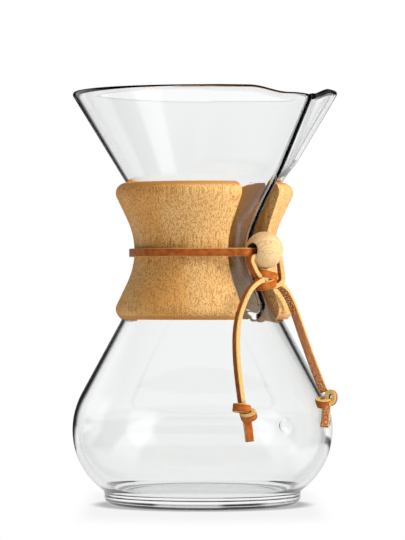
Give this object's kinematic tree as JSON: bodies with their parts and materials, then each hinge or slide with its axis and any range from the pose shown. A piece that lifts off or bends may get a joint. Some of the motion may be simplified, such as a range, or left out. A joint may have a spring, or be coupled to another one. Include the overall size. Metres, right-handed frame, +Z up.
{
  "type": "pour-over coffee maker",
  "caption": "Hourglass glass pour-over coffee maker with a pouring channel, a split wooden collar round its neck and a leather thong tied through a wooden bead.",
  "frame": {"origin": "on the vessel's axis, in the plane of the foot that it stands on", "axes": "+Z up along the vessel's axis, +X towards the pouring channel and its lip, +Y by the right-hand rule"},
  "size_m": [0.1425, 0.134, 0.212],
  "materials": {
    "glass": "clear, gloss",
    "collar_wood": "satin, oiled",
    "bead_wood": "satin",
    "leather": "smooth grain, raw cut edges"
  },
  "bodies": {
    "vessel": {"glass_vessel": "glass"},
    "collar": {"collar_half_left": "collar_wood", "collar_half_right": "collar_wood"},
    "tie": {"tie_band": "leather", "tie_knot": "leather", "tie_tail_left": "leather", "tie_tail_right": "leather", "stopper_knot_left": "leather", "stopper_knot_right": "leather", "tie_end_left": "leather", "tie_end_right": "leather"},
    "bead": {"bead": "bead_wood"}
  },
  "joints": [
    {"name": "collar_turn", "type": "hinge", "parent": "vessel", "child": "collar", "pos_m": [0, 0, 0.1302], "axis": [0, 0, 1], "range_deg": [-2.5, 2.5]},
    {"name": "tie_turn", "type": "hinge", "parent": "collar", "child": "tie", "pos_m": [0, 0, 0.1302], "axis": [0, 0, 1], "range_deg": [-12, 12]},
    {"name": "bead_spin", "type": "hinge", "parent": "tie", "child": "bead", "pos_m": [0.04565, 0, 0.1302], "axis": [0, 1, 0], "continuous": true}
  ]
}
